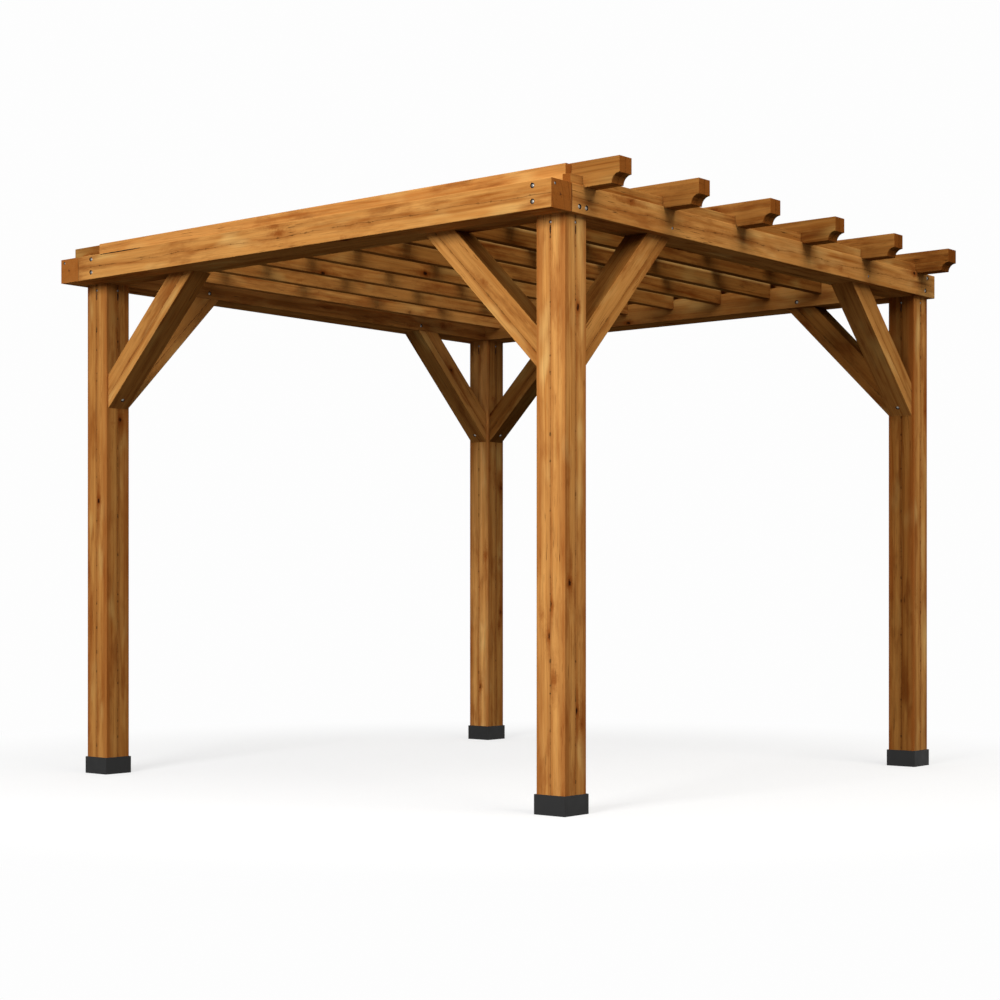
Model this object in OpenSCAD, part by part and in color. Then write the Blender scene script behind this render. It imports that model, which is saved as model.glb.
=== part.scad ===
// Free-standing wooden pergola: four laminated posts in black shoes, a ring of
// bolted beams, eight knee braces, crossing purlins and six doubled rafters
// with coved tails. Lengths are in millimetres, +Z is up, and the front of the
// pergola faces -Y. The origin is on the floor under the middle of the roof.

/* [Posts] */

// Distance between post centres across the front
post_spacing_x = 2730; // [2300:10:3300]
// Distance between post centres from front to back
post_spacing_y = 2826; // [2400:10:3400]
// Side of a square post
post_size = 140; // [120:5:160]
// Height of the underside of the beams, where the posts end
post_top = 2325; // [2000:5:2700]
// Bevel planed on the long edges of a post
post_bevel = 5; // [2:1:10]
// Width of the glue-line groove down the middle of each post face
seam_width = 3; // [2:0.5:5]
// Depth of that groove
seam_depth = 2; // [1:0.5:4]

/* [Post shoes] */

// Height of the black shoe round the foot of a post
shoe_height = 79; // [60:1:120]
// Thickness of the shoe's wall
shoe_wall = 6.5; // [4:0.5:10]
// Thickness of the shoe's floor under the post
shoe_floor = 5; // [3:1:10]
// Bevel on the upright corners of the shoe
shoe_bevel = 2; // [1:0.5:3]

/* [Beams] */

// Height of every beam of the ring
beam_height = 112; // [90:1:140]
// Thickness of the outer beams
beam_thick = 127; // [110:1:135]
// How far the front beam stands out in front of the post centres
front_beam_out = 188; // [180:1:200]
// How far the right beam stands out from the post centres
right_beam_out = 97; // [95:1:115]
// How far the back beam stands out behind the post centres
back_beam_out = 95; // [90:1:120]
// How far the left beam stands out from the post centres
left_beam_out = 117; // [100:1:130]
// Thickness of the inner plank behind the front beam
front_plank_thick = 99; // [85:1:115]
// Thickness of the inner plank behind the three other beams
side_plank_thick = 47; // [40:1:60]
// Bevel planed on the long edges of beams, planks and braces
beam_bevel = 3; // [1:0.5:6]

/* [Knee braces] */

// Length that a brace takes along the post and along the beam
brace_leg = 590; // [450:5:700]
// Depth of a brace, measured square to its length
brace_depth = 114; // [90:1:130]
// Thickness of a brace across the post
brace_thick = 114; // [90:1:120]

/* [Rafters] */

// Number of rafters
rafter_count = 6; // [4:1:7]
// Distance from one rafter to the next
rafter_pitch = 543; // [400:1:560]
// Thickness of one of the two planks of a rafter
rafter_ply = 40; // [32:1:45]
// Height of a rafter's tails
rafter_height = 102; // [90:1:125]
// How far the tails hang below the top of the beams
tail_drop = 7; // [0:1:15]
// Free space between a tail and the outer face of its beam
tail_play = 2; // [1:0.5:6]
// How far a rafter reaches past the post centres at each end
rafter_reach = 268; // [220:1:340]
// Radius of the hollow cut under each rafter tail
cove_radius = 38; // [30:1:50]

/* [Purlins and strips] */

// Number of purlins between the front and back beams
purlin_count = 9; // [5:1:9]
// Distance from one purlin to the next
purlin_pitch = 303; // [200:1:305]
// Thickness of a purlin
purlin_thick = 44; // [35:1:50]
// Height of a purlin's underside above the beams' underside
purlin_rise = 60; // [40:1:80]
// How far purlins and strips stand up above the beams, under the rafters
rebate_depth = 38; // [25:1:45]
// Thickness of the strips laid along the left and right beams
strip_thick = 38; // [30:1:50]
// How far a strip is set back from its beam's outer face
strip_setback = 6; // [3:1:15]
// Thickness of the boards fixed along the first and last rafter
edge_board_thick = 38; // [25:1:45]
// Height of those boards
edge_board_height = 90; // [60:1:94]
// How far those boards reach past the post centres
edge_board_reach = 38; // [0:1:45]

/* [Hidden] */

// Free space left where one piece of wood is seated against another
seat = 0.3;
// Finest step of a round edge
$fn = 64;

half_x = post_spacing_x / 2;
half_y = post_spacing_y / 2;
post_half = post_size / 2;
beam_top = post_top + beam_height;

// Place of the four posts' middle, so that the roof is centred on the origin
post_mid_y = (front_beam_out - back_beam_out) / 2;

// Outer faces of the ring of beams
front_face = post_mid_y - half_y - front_beam_out;
right_face = half_x + right_beam_out;
back_face = post_mid_y + half_y + back_beam_out;
left_face = -half_x - left_beam_out;

// Faces where the outer beams meet the inner planks
front_joint = front_face + beam_thick;
right_joint = right_face - beam_thick;
back_joint = back_face - beam_thick;
left_joint = left_face + beam_thick;

// Inner faces of the planks
front_inner = front_joint + front_plank_thick;
right_inner = right_joint - side_plank_thick;
back_inner = back_joint - side_plank_thick;
left_inner = left_joint + side_plank_thick;

brace_slant = brace_depth * sqrt(2);
rafter_thick = 2 * rafter_ply;
rafter_first = post_mid_y - (rafter_count - 1) * rafter_pitch / 2;
rafter_last = post_mid_y + (rafter_count - 1) * rafter_pitch / 2;
rafter_end = half_x + rafter_reach;
rafter_bottom = beam_top - tail_drop;
rafter_top = rafter_bottom + rafter_height;
purlin_middle = (left_inner + right_inner) / 2;
purlin_first = purlin_middle - (purlin_count - 1) * purlin_pitch / 2;
purlin_bottom = post_top + purlin_rise;
purlin_top = beam_top + rebate_depth;
rebate_top = purlin_top + seat;
right_strip_out = right_face - strip_setback;
left_strip_out = left_face + strip_setback;

rafter_names = [for (i = [1 : rafter_count]) str("rafter_", i)];
purlin_names = [for (i = [1 : purlin_count]) str("purlin_", i)];

cedar = [0.72, 0.49, 0.27];
cedar_dark = [0.62, 0.41, 0.22];
black = [0.12, 0.12, 0.12];

// A bar along Z with bevelled long edges, its section centred on the origin
module bar(width, depth, length, bevel)
{
  w = width / 2;
  d = depth / 2;
  b = bevel;
  linear_extrude(length)
    polygon([
      [-w + b, -d], [w - b, -d], [w, -d + b], [w, d - b],
      [w - b, d], [-w + b, d], [-w, d - b], [-w, -d + b]
    ]);
}

// A beam along X from x0 to x1, with section y0 to y1 and z0 to z1
module beam_along_x(x0, x1, y0, y1, z0, z1, bevel)
{
  translate([x0, (y0 + y1) / 2, (z0 + z1) / 2])
    rotate([0, 90, 0])
      bar(z1 - z0, y1 - y0, x1 - x0, bevel);
}

// A beam along Y from y0 to y1, with section x0 to x1 and z0 to z1
module beam_along_y(y0, y1, x0, x1, z0, z1, bevel)
{
  translate([(x0 + x1) / 2, y0, (z0 + z1) / 2])
    rotate([-90, 0, 0])
      bar(x1 - x0, z1 - z0, y1 - y0, bevel);
}

// One post at sides sx, sy of the middle, with a groove down each face
module post(sx, sy)
{
  p = post_half;
  b = post_bevel;
  g = seam_width / 2;
  s = seam_depth;
  color(cedar)
    translate([sx * half_x, post_mid_y + sy * half_y, shoe_floor])
      linear_extrude(post_top - shoe_floor)
        polygon([
          [-p + b, -p], [-g, -p], [0, -p + s], [g, -p],
          [p - b, -p], [p, -p + b], [p, -g], [p - s, 0], [p, g],
          [p, p - b], [p - b, p], [g, p], [0, p - s], [-g, p],
          [-p + b, p], [-p, p - b], [-p, g], [-p + s, 0], [-p, -g],
          [-p, -p + b]
        ]);
}

// One black shoe: a square cup that a post stands in
module shoe(sx, sy)
{
  inner = post_size + 2 * seat;
  outer = inner + 2 * shoe_wall;
  b = shoe_bevel;
  color(black)
    translate([sx * half_x, post_mid_y + sy * half_y, 0])
      difference() {
        bar(outer, outer, shoe_height, b);
        translate([-inner / 2, -inner / 2, shoe_floor])
          cube([inner, inner, shoe_height]);
      }
}

// A knee brace that stands on the face of the post at x, y and rises away
// from it in the direction turned by angle from +X
module brace(x, y, angle)
{
  top = post_top - seat;
  foot = top - brace_leg;
  color(cedar)
    translate([x, y, 0])
      rotate([0, 0, angle])
        translate([post_half, brace_thick / 2, 0])
          rotate([90, 0, 0])
            linear_extrude(brace_thick)
              polygon([
                [seat, foot + seat], [brace_leg, top],
                [brace_leg - brace_slant, top],
                [seat, foot + brace_slant + seat]
              ]);
}

// The glue-line groove of a rafter, along X from x0 to x1 at height z
module rafter_seam(x0, x1, y, z)
{
  translate([x0, y, z])
    rotate([45, 0, 0])
      translate([0, -seam_depth / 2, -seam_depth / 2])
        cube([x1 - x0, seam_depth, seam_depth]);
}

// One rafter centred on y, with a long rebate between its two tails that
// sits down over the strips and the purlins
module rafter(y)
{
  e = rafter_end;
  color(cedar)
    difference() {
      translate([-e, y - rafter_ply, rafter_bottom])
        cube([2 * e, rafter_thick, rafter_height]);
      // hollows under the two tails
      for (side = [-1, 1])
        translate([side * e, y - rafter_thick, rafter_bottom])
          rotate([-90, 0, 0])
            cylinder(r = cove_radius, h = 2 * rafter_thick);
      // the rebate, which ends just outside the left and right beams
      translate([
        left_face - tail_play, y - rafter_thick, rafter_bottom - 1
      ])
        cube([
          right_face - left_face + 2 * tail_play,
          2 * rafter_thick, rebate_top - rafter_bottom + 1
        ]);
      // glue line between the two planks, above, below and on both ends
      for (z = [rafter_bottom, rafter_top])
        rafter_seam(-e - 1, e + 1, y, z);
      rafter_seam(left_face, right_face, y, rebate_top);
      for (x = [-e, e])
        translate([x, y, rafter_bottom - 1])
          rotate([0, 0, 45])
            translate([-seam_depth / 2, -seam_depth / 2, 0])
              cube([seam_depth, seam_depth, rafter_height + 2]);
    }
}

// One purlin centred on x, between the front and back planks
module purlin(x)
{
  color(cedar_dark)
    translate([x - purlin_thick / 2, front_inner + seat, purlin_bottom])
      cube([
        purlin_thick, back_inner - front_inner - 2 * seat,
        purlin_top - purlin_bottom
      ]);
}

// A strip on top of the left or right beam, which the rafters sit over
module strip(x0)
{
  color(cedar_dark)
    translate([x0, front_joint + seat, beam_top])
      cube([strip_thick, back_joint - front_joint - 2 * seat, rebate_depth]);
}

// A board on edge beside the first or last rafter, notched over any purlin
// that runs under it
module edge_board(y0)
{
  color(cedar_dark)
    difference() {
      translate([-half_x - edge_board_reach, y0, beam_top])
        cube([
          post_spacing_x + 2 * edge_board_reach,
          edge_board_thick - seat, edge_board_height
        ]);
      for (i = [0 : purlin_count - 1])
        translate([
          purlin_first + i * purlin_pitch - purlin_thick / 2 - seat,
          front_inner, purlin_bottom
        ])
          cube([
            purlin_thick + 2 * seat, back_inner - front_inner,
            rebate_top - purlin_bottom
          ]);
    }
}

post(-1, -1);  // post_front_left
post(1, -1);  // post_front_right
post(1, 1);  // post_back_right
post(-1, 1);  // post_back_left
shoe(-1, -1);  // shoe_front_left
shoe(1, -1);  // shoe_front_right
shoe(1, 1);  // shoe_back_right
shoe(-1, 1);  // shoe_back_left

color(cedar)  // beam_front
    beam_along_x(left_joint + seat, right_face, front_face, front_joint - seat,
      post_top, beam_top, beam_bevel);
color(cedar)  // beam_right
    beam_along_y(front_joint, back_face, right_joint, right_face,
      post_top, beam_top, beam_bevel);
color(cedar)  // beam_back
    beam_along_x(left_face, right_joint - seat, back_joint + seat, back_face,
      post_top, beam_top, beam_bevel);
color(cedar)  // beam_left
    beam_along_y(front_face, back_joint, left_face, left_joint,
      post_top, beam_top, beam_bevel);

color(cedar_dark)  // plank_front
    beam_along_x(left_joint + seat, right_joint - seat, front_joint,
      front_inner, post_top, beam_top, beam_bevel);
color(cedar_dark)  // plank_back
    beam_along_x(left_joint + seat, right_joint - seat, back_inner,
      back_joint, post_top, beam_top, beam_bevel);
color(cedar_dark)  // plank_right
    beam_along_y(front_inner + seat, back_inner - seat, right_inner,
      right_joint - seat, post_top, beam_top, beam_bevel);
color(cedar_dark)  // plank_left
    beam_along_y(front_inner + seat, back_inner - seat, left_joint + seat,
      left_inner, post_top, beam_top, beam_bevel);

brace(-half_x, post_mid_y - half_y, 0);  // brace_front_at_left
brace(half_x, post_mid_y - half_y, 180);  // brace_front_at_right
brace(half_x, post_mid_y - half_y, 90);  // brace_right_at_front
brace(half_x, post_mid_y + half_y, -90);  // brace_right_at_back
brace(half_x, post_mid_y + half_y, 180);  // brace_back_at_right
brace(-half_x, post_mid_y + half_y, 0);  // brace_back_at_left
brace(-half_x, post_mid_y + half_y, -90);  // brace_left_at_back
brace(-half_x, post_mid_y - half_y, 90);  // brace_left_at_front

strip(right_strip_out - strip_thick);  // strip_right
strip(left_strip_out);  // strip_left

edge_board(rafter_first - rafter_ply - edge_board_thick);  // edge_board_front
edge_board(rafter_last + rafter_ply + seat);  // edge_board_back

for (i = [1 : rafter_count])
  rafter(rafter_first + (i - 1) * rafter_pitch);

for (i = [1 : purlin_count])
  purlin(purlin_first + (i - 1) * purlin_pitch);
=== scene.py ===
"""Looks of a free-standing cedar pergola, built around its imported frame.

Every timber is made as the sawmill and the joiner leave it: staves and plies
glued side by side, arrises eased, bolt heads sunk into bored seats.
"""

import math
from functools import partial

import bmesh
import bpy
from mathutils import Matrix, Vector


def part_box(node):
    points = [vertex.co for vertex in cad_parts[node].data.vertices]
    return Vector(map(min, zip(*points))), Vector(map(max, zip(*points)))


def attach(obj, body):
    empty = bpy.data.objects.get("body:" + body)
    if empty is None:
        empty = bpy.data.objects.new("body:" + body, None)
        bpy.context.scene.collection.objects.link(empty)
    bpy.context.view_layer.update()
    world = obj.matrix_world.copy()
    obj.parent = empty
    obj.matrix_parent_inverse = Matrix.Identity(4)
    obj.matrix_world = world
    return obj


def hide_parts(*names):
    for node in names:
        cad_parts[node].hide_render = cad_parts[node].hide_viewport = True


bl_info = {
    "name": "Cedar pergola",
    "version": (1, 0, 0),
    "blender": (4, 5, 0),
    "location": "3D View > Sidebar > Pergola",
    "description": "Timbers, shoes, fasteners and a plain studio for a cedar pergola",
    "category": "Object",
}

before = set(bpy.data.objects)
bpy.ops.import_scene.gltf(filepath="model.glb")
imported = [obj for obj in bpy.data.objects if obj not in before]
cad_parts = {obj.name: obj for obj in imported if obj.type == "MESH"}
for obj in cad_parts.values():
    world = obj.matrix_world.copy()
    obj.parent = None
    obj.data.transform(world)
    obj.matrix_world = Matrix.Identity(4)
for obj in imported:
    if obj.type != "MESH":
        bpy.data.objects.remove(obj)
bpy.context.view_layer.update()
MM = 0.001
BODY = "root"
X, Y, Z = Vector((1, 0, 0)), Vector((0, 1, 0)), Vector((0, 0, 1))
CORNERS = ("front_left", "front_right", "back_right", "back_left")
OUTWARD = {"front": -Y, "right": X, "back": Y, "left": -X}
# the ring of beams runs anticlockwise round the roof, each beam passing one corner
RUNS = {"front": X, "right": Y, "back": -X, "left": -Y}
# painted light and shade on the front and on the right face of each post: darker where another post
# or the roof shades the face, lighter where a face lies far from the lamps
FACE_LIGHT_AND_SHADE = {
    "front_left": (0.9, 0.76),
    "front_right": (1.04, 1.02),
    "back_right": (0.57, 1.14),
    "back_left": (1.12, 0.84),
}
# the same for other timbers, where 1 is the plain colour and less is a deeper stain; the
# undersides, brace faces, back braces, planks, purlins and rafters are darkened as painted shade,
# and the rafters' sawn ends painted lighter
TONES = {
    "post": 0.9,
    "beam_front": 0.88,
    "beam": 0.92,
    "plank": 0.8,
    "under": 0.82,
    "brace": 0.88,
    "brace_back_shade": 0.5,
    "brace_lower_shade": 0.7,
    "brace_upper_shade": 0.54,
    "rafter_front": 0.59,
    "rafter": 0.56,
    "rafter_end": 1.35,
    "purlin": 0.85,
    "strip": 0.8,
    "edge_board": 0.9,
}
# how much darker each rafter or purlin is painted than the one before it: painted shade that
# deepens towards the back
DARKER_PER_ROW = {"rafter": 0.018, "purlin": 0.07}
# metres along the grain from one timber to the next, so that no two look alike
STAGGER = {"post": 3.1, "beam": 4.3, "brace": 2.9, "rafter": 5.3}
# metres that the grain's zero is moved aside, where only one of its two glue lines may show
ASIDE = 0.5
# how much wider a bored seat is than the head in it
ROOM = {"bolt": 1.4, "screw": 1.25}
# where the outer beams are drilled: which end, and mm from it and above the lower edge
LONG_BEAM = {"bolt": ((-1, 92, 32), (-1, 92, 93), (1, 92, 32), (1, 92, 93)), "screw": ()}
SIDE_BEAM = {
    "bolt": ((-1, 51, 27), (-1, 96, 27), (1, 96, 28), (1, 74, 93)),
    "screw": ((-1, 682, 31), (1, 668, 31)),
}
DRILLED = {"front": LONG_BEAM, "right": SIDE_BEAM, "back": LONG_BEAM, "left": SIDE_BEAM}
# the shader nodes used most
MATH, VECTOR = "ShaderNodeMath", "ShaderNodeVectorMath"
NOISE, RANGE, MIX = "ShaderNodeTexNoise", "ShaderNodeMapRange", "ShaderNodeMix"
SMOOTH = {"interpolation_type": "SMOOTHSTEP"}
# numbers of the Mix node's sockets for colours: the lower one, the one laid on it, the result
UNDER, OVER, MIXED = 6, 7, 2
# an edge sharper than this is eased
SHARP = math.radians(25)
# cosines: a face looks a certain way, is sawn across the grain, or lies square to an axis
FACING, SAWN, SQUARE = 0.7, 0.1, 0.995
# emission of the backdrop, a touch below white
BACKDROP = 0.985


def nodes_of(kind):
    """The CAD nodes of one kind of timber, in order."""
    return sorted(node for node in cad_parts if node.startswith(f"{kind}_"))


# ---- settings


def linear(code):
    """Turns an sRGB hex colour into the linear colour that shaders work in."""
    channels = [int(code[i : i + 2], 16) / 255 for i in (0, 2, 4)]
    return tuple(c / 12.92 if c <= 0.04045 else ((c + 0.055) / 1.055) ** 2.4 for c in channels)


def colour(name, description, code):
    """A colour setting whose default is an sRGB hex code."""
    limits = {"size": 3, "min": 0, "max": 1, "default": linear(code)}
    return bpy.props.FloatVectorProperty(
        name=name, description=description, subtype="COLOR", **limits
    )


def length(name, description, value):
    """A length setting in metres."""
    return bpy.props.FloatProperty(
        name=name, description=description, subtype="DISTANCE", unit="LENGTH", min=0, default=value
    )


def strength(name, description, value):
    """The power of a lamp in watts, or the strength of the sky."""
    return bpy.props.FloatProperty(name=name, description=description, min=0, default=value)


class PergolaSizes(bpy.types.PropertyGroup):
    """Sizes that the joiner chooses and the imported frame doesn't hold"""

    post_arris: length("Post arris", "Radius planed on the outer corners of a post", 5 * MM)
    beam_arris: length("Beam arris", "Radius planed on the edges of beams and braces", 2.5 * MM)
    board_arris: length("Board arris", "Radius sanded on the edges of thin boards", 1.5 * MM)
    seam_arris: length("Seam arris", "Radius on the edges that meet at a glue line", 0.8 * MM)
    glue_gap: length("Glue line", "Gap between two boards glued side by side", 0.4 * MM)
    seat: length("Seat", "Free space where one timber is seated on another", 0.3 * MM)
    brace_depth: length("Brace depth", "Depth of a knee brace, square to its length", 114 * MM)
    brace_ply: length("Brace ply", "Depth of the lower of a brace's two plies", 40 * MM)
    cove_radius: length("Cove radius", "Radius of the hollow under a rafter's tail", 38 * MM)
    tail_play: length("Tail play", "Free space between a rafter's tail and its beam", 2 * MM)
    bolt_radius: length("Bolt head radius", "Radius of a domed bolt head", 7.5 * MM)
    bolt_seat: length("Bolt seat", "Depth of the bored seat of a bolt head", 5.5 * MM)
    screw_radius: length("Screw head radius", "Radius of a small domed screw head", 5 * MM)
    screw_seat: length("Screw seat", "Depth of the bored seat of a screw head", 3.5 * MM)


class PergolaColours(bpy.types.PropertyGroup):
    """Colours of the stain, the wood, the metal and the studio"""

    honey: colour("Honey", "Stained earlywood, where the oil is thin", "D79C56")
    amber: colour("Amber", "The stain's middle tone", "AC6B2E")
    # pale also paints the highlight on the purlins' upper edges
    pale: colour("Pale", "Dense wood beside knots, which takes little stain", "E6BA72")
    russet: colour("Russet", "Heartwood streaks under the stain", "8A4718")
    umber: colour("Umber", "Latewood lines and dirt in glue lines", "37200F")
    knot: colour("Knot", "Core of a knot", "2B140A")
    end_grain: colour("End grain", "Sawn ends, which drink more stain", "9C5C26")
    shoe: colour("Shoe", "Black powder coat of the post shoes", "191919")
    steel: colour("Steel", "Zinc plated bolts and screws", "8A867F")
    floor: colour("Floor", "Pale studio floor", "F0F0F0")


class PergolaStage(bpy.types.PropertyGroup):
    """Camera and lamps of the plain studio"""

    camera_place: bpy.props.FloatVectorProperty(
        name="Camera place",
        description="Where the camera stands",
        subtype="TRANSLATION",
        unit="LENGTH",
        default=(6.087, -7.497, 0.873),
    )
    heading: bpy.props.FloatProperty(
        name="Heading",
        description="How far the level camera is turned left of straight ahead",
        subtype="ANGLE",
        default=math.radians(40.12),
    )
    lens: bpy.props.FloatProperty(
        name="Lens", description="Focal length", subtype="DISTANCE_CAMERA", default=71.49
    )
    shift: bpy.props.FloatVectorProperty(
        name="Shift",
        description="Lens shift that frames roof and feet",
        size=2,
        default=(0.0259, 0.0899),
    )
    key: strength("Key lamp", "Power of the front lamp", 720)
    side: strength("Side lamp", "Power of the lamp at the side", 330)
    sky: strength("Sky", "Strength of the light all round", 0.22)
    zenith: strength("Zenith", "Strength of the light overhead", 1.1)


# ---- materials


def add_node(tree, kind, inputs=(), **settings):
    """Adds one shader node, sets its properties, fills or links its inputs, gives its outputs.

    The inputs are a list in the node's own order, or a table by name or number.
    """
    node = tree.nodes.new(kind)
    for name, value in settings.items():
        setattr(node, name, value)
    for key, value in inputs.items() if isinstance(inputs, dict) else enumerate(inputs):
        if isinstance(value, bpy.types.NodeSocket):
            tree.links.new(value, node.inputs[key])
        else:
            node.inputs[key].default_value = value
    return node.outputs


def add_material(name):
    """A new node material with nothing in it, and the call that adds a node to it."""
    material = bpy.data.materials.new(name)
    material.use_nodes = True
    material.node_tree.nodes.clear()
    return material, partial(add_node, material.node_tree)


def opaque(rgb):
    """A colour setting as the four numbers that a shader socket takes."""
    return (*rgb, 1.0)


def cedar_figure(colours):
    """Node group that draws sawn cedar in a board's own coordinates, in metres, the grain first.

    Growth rings run round a pith beside the board, so flat faces show long
    flames and straight lines as real boards do. Knots push the rings aside.
    """
    tree = bpy.data.node_groups.new("Cedar figure", "ShaderNodeTree")
    add = partial(add_node, tree)
    tree.interface.new_socket(name="Board", in_out="INPUT", socket_type="NodeSocketVector")
    for label in ("Seed", "Tone", "Cut", "Arris", "Seam", "Wander"):
        tree.interface.new_socket(name=label, in_out="INPUT", socket_type="NodeSocketFloat")
    tree.interface.new_socket(name="Colour", in_out="OUTPUT", socket_type="NodeSocketColor")
    for label in ("Roughness", "Height"):
        tree.interface.new_socket(name=label, in_out="OUTPUT", socket_type="NodeSocketFloat")
    given = add("NodeGroupInput")
    board = given["Board"]

    # each board is cut from its own part of the tree, up to 40 m off
    luck = add("ShaderNodeTexWhiteNoise", {"W": given["Seed"]}, noise_dimensions="1D")
    away = add(VECTOR, [luck["Color"], (40, 40, 40)], operation="MULTIPLY")
    grain = add(VECTOR, [board, away[0]], operation="ADD")[0]

    # noises drawn out along the grain: repeats per metre along and across, and octaves
    field = {}
    for label, start, along, across, octaves in (
        ("patch", grain, 1.6, 7.0, 3),
        ("cloud", grain, 3.6, 16.0, 5),
        ("streak", grain, 1.5, 60.0, 6),
        ("fibre", grain, 6.0, 240.0, 4),
        ("slit", grain, 9.0, 260.0, 1),
        ("rare", grain, 2.6, 8.0, 2),
        ("ragged", grain, 75.0, 75.0, 2),
        ("sway", board, 2.3, 0.5, 3),
        ("blot", board, 7.0, 30.0, 2),
        ("drops", board, 34.0, 30.0, 2),
    ):
        drawn = add(VECTOR, [start, (along, across, across)], operation="MULTIPLY")[0]
        noise = {"Vector": drawn, "Scale": 1.0, "Detail": float(octaves), "Roughness": 0.62}
        field[label] = add(NOISE, noise)["Fac"]

    # knots: one in some cells of 420 by 90 mm, 4 to 11 mm in radius, with a long flare.
    # A cell counts for 91 mm across the grain and for less than its length along it,
    # which draws the core out a little and the flare far.
    cells = add(VECTOR, [grain, (2.4, 11.0, 11.0)], operation="MULTIPLY")[0]
    knots = add("ShaderNodeTexVoronoi", {"Vector": cells, "Scale": 1.0}, feature="F1")
    chance = add("ShaderNodeSeparateColor", [knots["Color"]])
    aside = add(VECTOR, [cells, knots["Position"]], operation="SUBTRACT")[0]
    ragged = add(MATH, [field["ragged"], 14 * MM, -7 * MM], operation="MULTIPLY_ADD")[0]
    far = {}
    for label, squeeze in (("core", 0.27), ("flare", 0.065)):
        spot = add(VECTOR, [aside, (squeeze, 0.091, 0.091)], operation="MULTIPLY")[0]
        spot = add(VECTOR, [spot], operation="LENGTH")["Value"]
        far[label] = add(MATH, [spot, ragged], operation="ADD")[0]

    # growth rings round the pith, wavering along the tree and pushed out by knots
    waver = add(VECTOR, [grain, (0.8, 2.0, 2.0)], operation="MULTIPLY")[0]
    waver = add(NOISE, {"Vector": waver, "Scale": 1.0, "Detail": 2.0})["Color"]
    spoke = add(VECTOR, [board, (0, 1, 1)], operation="MULTIPLY")[0]
    for source, spread in ((waver, (0, 0.07, 0.07)), (luck["Color"], (0, 0.36, 0.36))):
        shift = add(VECTOR, [source, (0.5, 0.5, 0.5)], operation="SUBTRACT")[0]
        shift = add(VECTOR, [shift, spread], operation="MULTIPLY")[0]
        spoke = add(VECTOR, [spoke, shift], operation="ADD")[0]
    age = add(VECTOR, [spoke], operation="LENGTH")["Value"]
    bulge = add(RANGE, [far["flare"], 35 * MM, 0.0, 0.0, 16 * MM], **SMOOTH)[0]
    age = add(MATH, [age, bulge], operation="ADD")[0]
    # a ring every 10 mm, coarser than the real 2 mm so that it shows
    age = add(MATH, [age, 100.0, given["Seed"]], operation="MULTIPLY_ADD")[0]
    ring = add(NOISE, {"W": age, "Scale": 1.0, "Detail": 3.0}, noise_dimensions="1D")["Fac"]

    # distance from the glue line that runs through the board's own zero
    parts = add("ShaderNodeSeparateXYZ", [board])
    sway = add(MATH, [field["sway"], 0.5], operation="SUBTRACT")[0]
    sway = add(MATH, [sway, given["Wander"]], operation="MULTIPLY")[0]
    sides = []
    for axis in (1, 2):
        moved = add(MATH, [parts[axis], sway], operation="ADD")[0]
        sides.append(add(MATH, [moved], operation="ABSOLUTE")[0])
    line = add(MATH, [sides[0], sides[1]], operation="MINIMUM")[0]
    # mostly a hair line, with droplets of dirt here and there
    width = add(RANGE, [field["drops"], 0.52, 0.68, 1.4 * MM, 5.6 * MM], **SMOOTH)[0]
    near = add(MATH, [line, width], operation="DIVIDE")[0]

    # how far each of these shows: the value it hangs on, where it is none and all, and its share
    share = {}
    for label, value, none, full, most in (
        ("row", field["streak"], 0.30, 0.70, 0.85),
        ("thin", field["patch"], 0.34, 0.66, 0.60),
        ("early", ring, 0.34, 0.66, 0.40),
        ("cloud", field["cloud"], 0.47, 0.72, 0.62),
        ("heart", field["streak"], 0.42, 0.26, 0.42),
        ("late", ring, 0.40, 0.24, 0.30),
        ("fibre", field["fibre"], 0.44, 0.68, 0.24),
        ("pale", field["rare"], 0.54, 0.74, 0.62),
        ("slit", field["slit"], 0.67, 0.72, 0.85),
        ("dry", field["rare"], 0.46, 0.38, 1.0),
        ("knot", chance[0], 0.52, 0.54, 1.0),
        ("core", far["core"], 11.5 * MM, 4 * MM, 0.95),
        ("rim", far["core"], 30 * MM, 6 * MM, 0.75),
        ("flare", far["flare"], 26 * MM, 4 * MM, 0.62),
        ("line", near, 1.0, 0.35, 1.0),
        ("broken", field["blot"], 0.36, 0.52, 0.95),
        ("stain", line, 20 * MM, 1 * MM, 0.42),
    ):
        share[label] = add(RANGE, [value, none, full, 0.0, most], **SMOOTH)[0]

    # where two of them meet
    for label, first, second in (
        ("core", share["core"], share["knot"]),
        ("rim", share["rim"], share["knot"]),
        ("flare", share["flare"], share["knot"]),
        ("check", share["slit"], share["dry"]),
        ("glue", share["broken"], given["Seam"]),
        ("soak", share["stain"], given["Seam"]),
        ("sawn", given["Cut"], 0.9),
        # arrises lighter: the stain rubbed thin there, and a painted highlight along the eased edge
        ("rubbed", given["Arris"], 0.35),
    ):
        share[label] = add(MATH, [first, second], operation="MULTIPLY")[0]
    share["seam"] = add(MATH, [share["line"], share["glue"]], operation="MULTIPLY")[0]

    # the stain's colours laid over each other, on sawn ends and then on long faces:
    # what shows, and in which colour
    wood = {"end": opaque(colours.end_grain), "face": opaque(colours.amber)}
    for part, layers in (
        ("end", "late:umber fibre:umber"),
        (
            "face",
            "row:honey thin:honey early:honey cloud:russet heart:russet late:russet pale:pale "
            "fibre:umber soak:russet flare:russet rim:russet core:knot check:umber seam:umber "
            "rubbed:honey",
        ),
    ):
        for layer in layers.split():
            shown, shade = layer.split(":")
            laid = {0: share[shown], UNDER: wood[part], OVER: opaque(getattr(colours, shade))}
            wood[part] = add(MIX, laid, data_type="RGBA")[MIXED]
    laid = {0: share["sawn"], UNDER: wood["face"], OVER: wood["end"]}
    both = add(MIX, laid, data_type="RGBA")[MIXED]

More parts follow.
